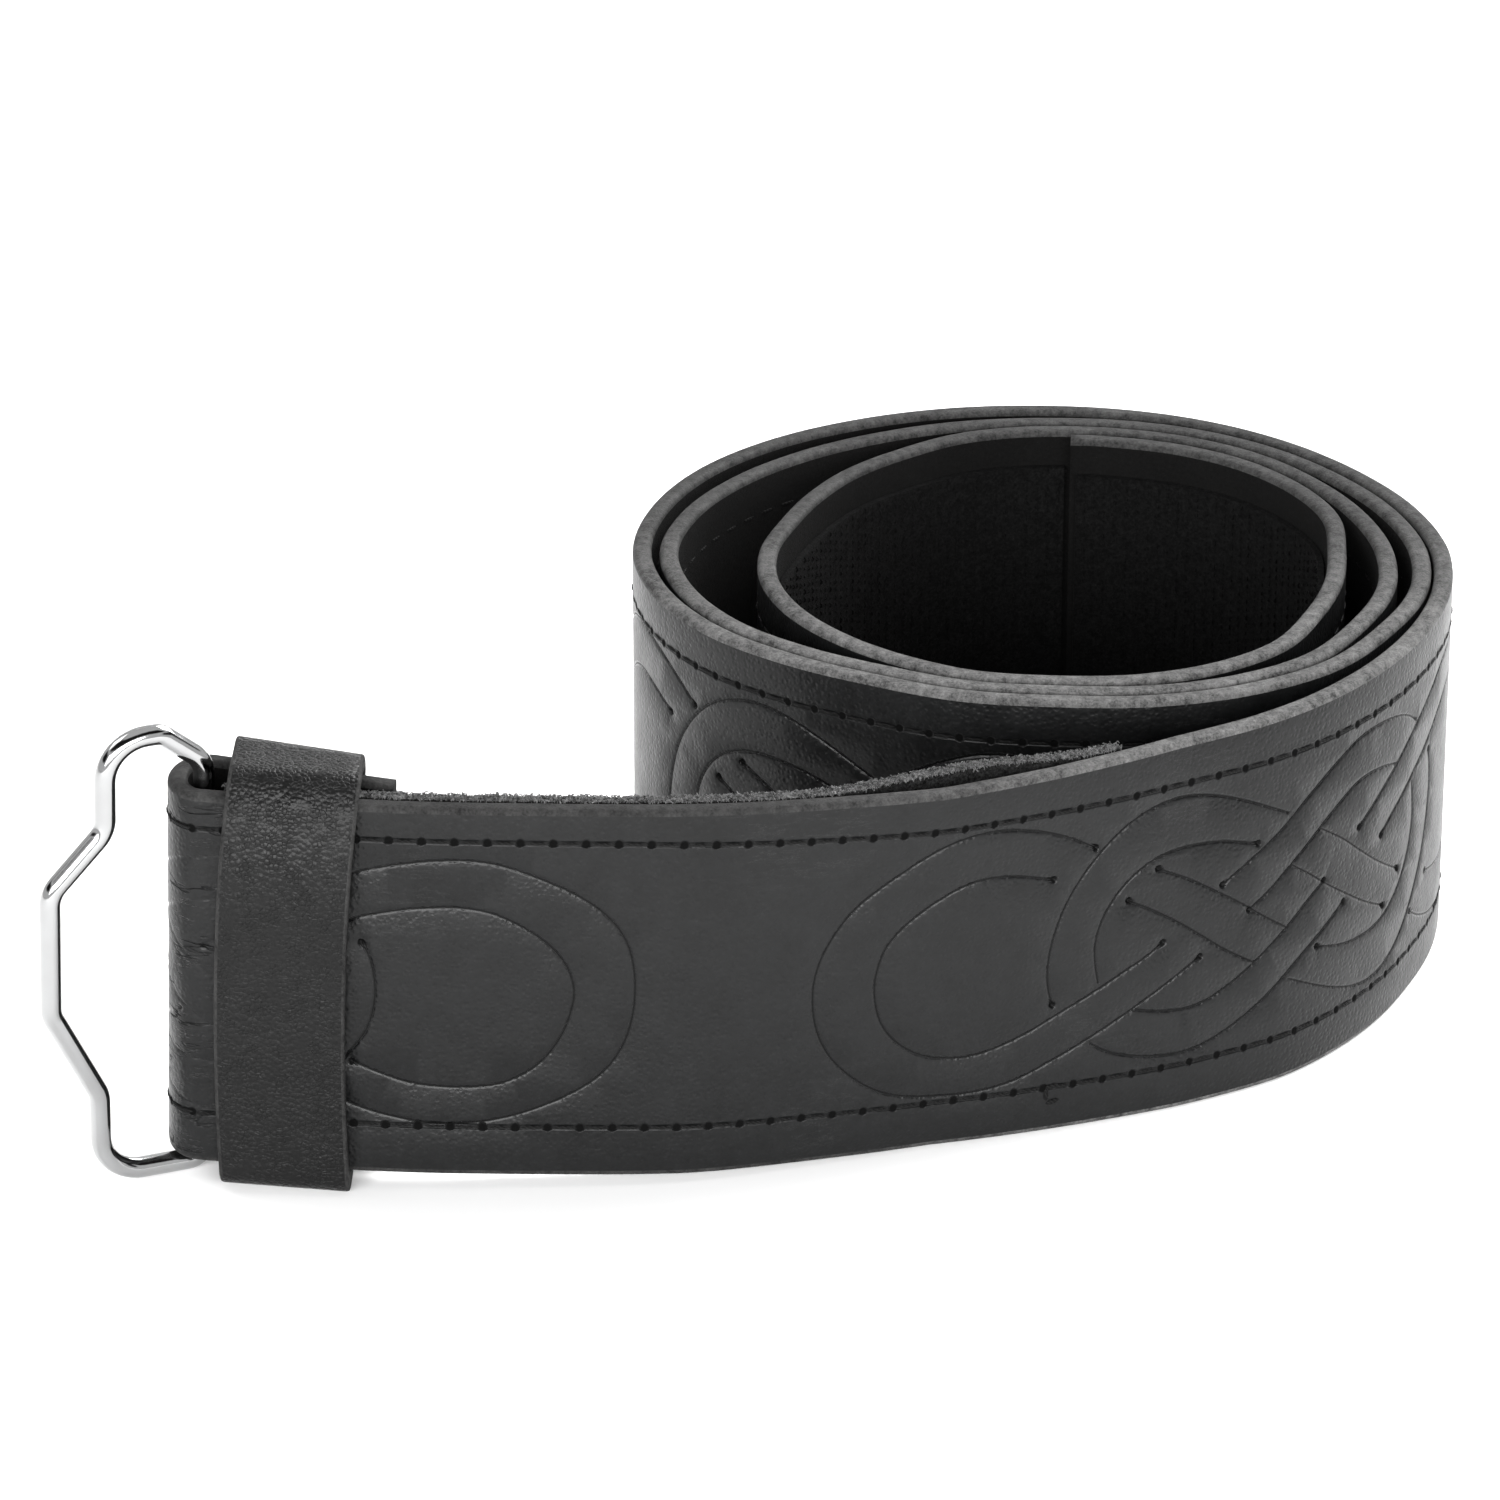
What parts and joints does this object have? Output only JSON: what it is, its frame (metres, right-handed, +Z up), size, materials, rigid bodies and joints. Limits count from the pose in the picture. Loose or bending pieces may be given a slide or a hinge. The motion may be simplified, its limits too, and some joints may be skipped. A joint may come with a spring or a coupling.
{
  "type": "kilt belt",
  "caption": "Wide black leather kilt belt with pressed knotwork, rolled up on edge, with a chrome wire ring folded into one end and a leather keeper.",
  "frame": {"origin": "on the surface that the belt stands on, under the middle of its bounding box", "axes": "+Z up along the strap's width, +X along the front run from the ring to the coil, +Y from the front run to the coil's back"},
  "size_m": [0.2012, 0.1478, 0.07],
  "materials": {
    "strap_leather": "smooth black leather, satin, with pressed lines",
    "keeper_leather": "black leather with a pebbled, glossier grain",
    "ring_chrome": "polished",
    "tape": "black hook and loop tape"
  },
  "bodies": {
    "belt": {"strap": "strap_leather", "keeper": "keeper_leather", "loop_tape": "tape", "hook_tape": "tape", "end_tape": "tape"},
    "ring": {"ring": "ring_chrome"}
  },
  "joints": [
    {"name": "ring_swing", "type": "hinge", "parent": "belt", "child": "ring", "pos_m": [-0.07888, -0.06312, 0], "axis": [0.0299, -0.0024, 0.9996], "range_deg": [-103, 47]}
  ]
}
